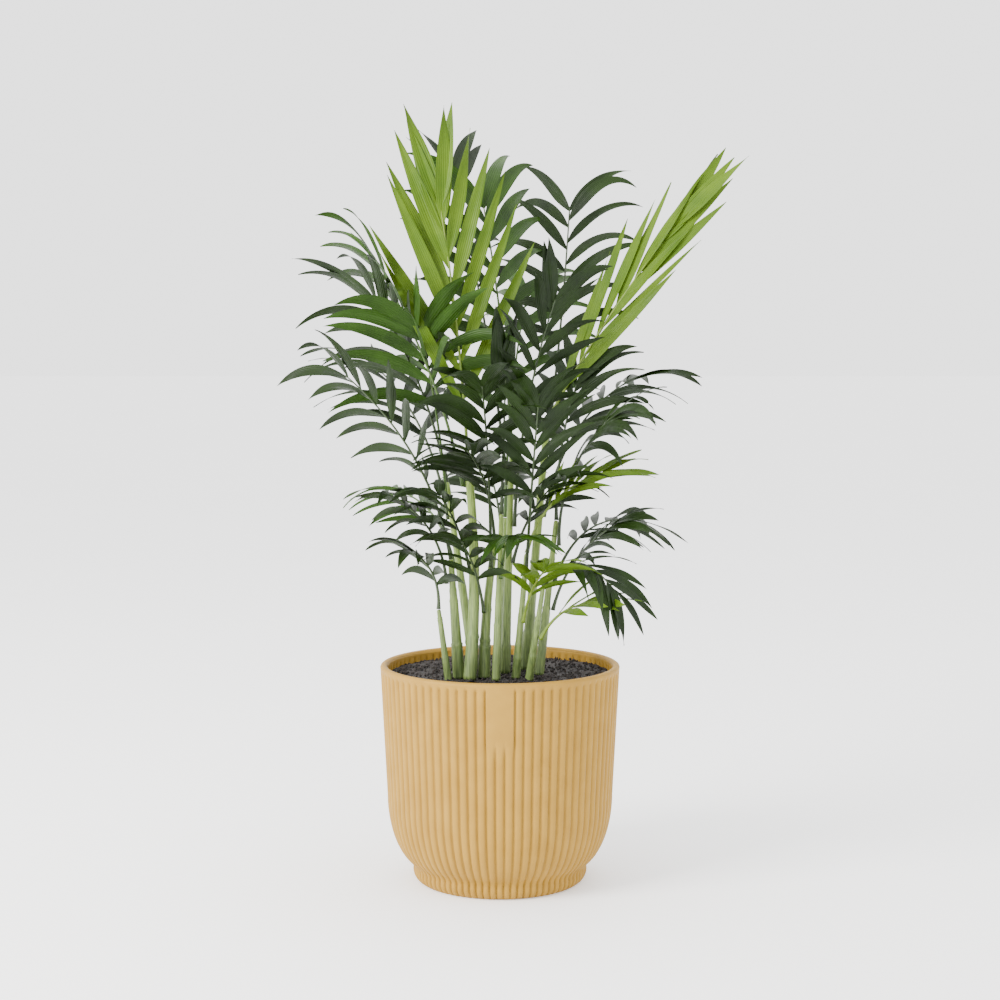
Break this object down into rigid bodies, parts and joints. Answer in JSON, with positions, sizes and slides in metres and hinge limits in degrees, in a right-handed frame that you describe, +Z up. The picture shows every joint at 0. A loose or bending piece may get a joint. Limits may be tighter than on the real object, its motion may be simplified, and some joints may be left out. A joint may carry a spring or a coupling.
{
  "type": "potted parlor palm",
  "caption": "Young parlor palm with slender canes and arching feather fronds, in a round reeded pot of soil.",
  "frame": {"origin": "middle of the pot's flat underside", "axes": "+Z up along the plant, front towards -Y"},
  "size_m": [0.3596, 0.2952, 0.5935],
  "materials": {
    "pot": "matt sand yellow",
    "soil": "loose dark potting soil",
    "cane": "smooth living cane",
    "leaf_bright": "satin young leaf",
    "leaf_mid": "satin leaf",
    "leaf_dark": "satin old leaf"
  },
  "bodies": {
    "root": {"pot": "pot", "soil": "soil", "cane_bright": "cane", "cane_left": "cane", "cane_low_left": "cane", "cane_thick": "cane", "cane_middle": "cane", "cane_centre": "cane", "cane_right": "cane", "cane_low_right": "cane", "cane_far_right": "cane", "cane_tall": "cane", "cane_back_left": "cane", "cane_back": "cane", "frond_top_fan": "leaf_bright", "frond_spear": "leaf_bright", "frond_left_high": "leaf_mid", "frond_left_broad": "leaf_mid", "frond_left_mid": "leaf_dark", "frond_left_low": "leaf_dark", "frond_low_left_a": "leaf_dark", "frond_low_left_b": "leaf_dark", "frond_upper_right": "leaf_dark", "frond_top_centre": "leaf_mid", "frond_top_back": "leaf_dark", "frond_young": "leaf_dark", "frond_right_mid": "leaf_dark", "frond_right_arch": "leaf_dark", "frond_right_bright": "leaf_bright", "frond_right_low": "leaf_dark", "frond_right_foot": "leaf_bright", "frond_front": "leaf_dark", "frond_front_low": "leaf_mid", "frond_front_high": "leaf_dark", "frond_low_front": "leaf_bright", "frond_low_thick": "leaf_dark", "frond_low_centre": "leaf_dark", "frond_low_bright": "leaf_dark", "frond_low_far": "leaf_dark", "frond_centre_mid": "leaf_dark", "frond_centre_up": "leaf_dark", "frond_back_high": "leaf_mid", "frond_back_left": "leaf_dark", "frond_back_right": "leaf_dark", "frond_back_low": "leaf_dark", "frond_back_low_left": "leaf_mid", "frond_back_low_right": "leaf_dark"}
  },
  "joints": []
}
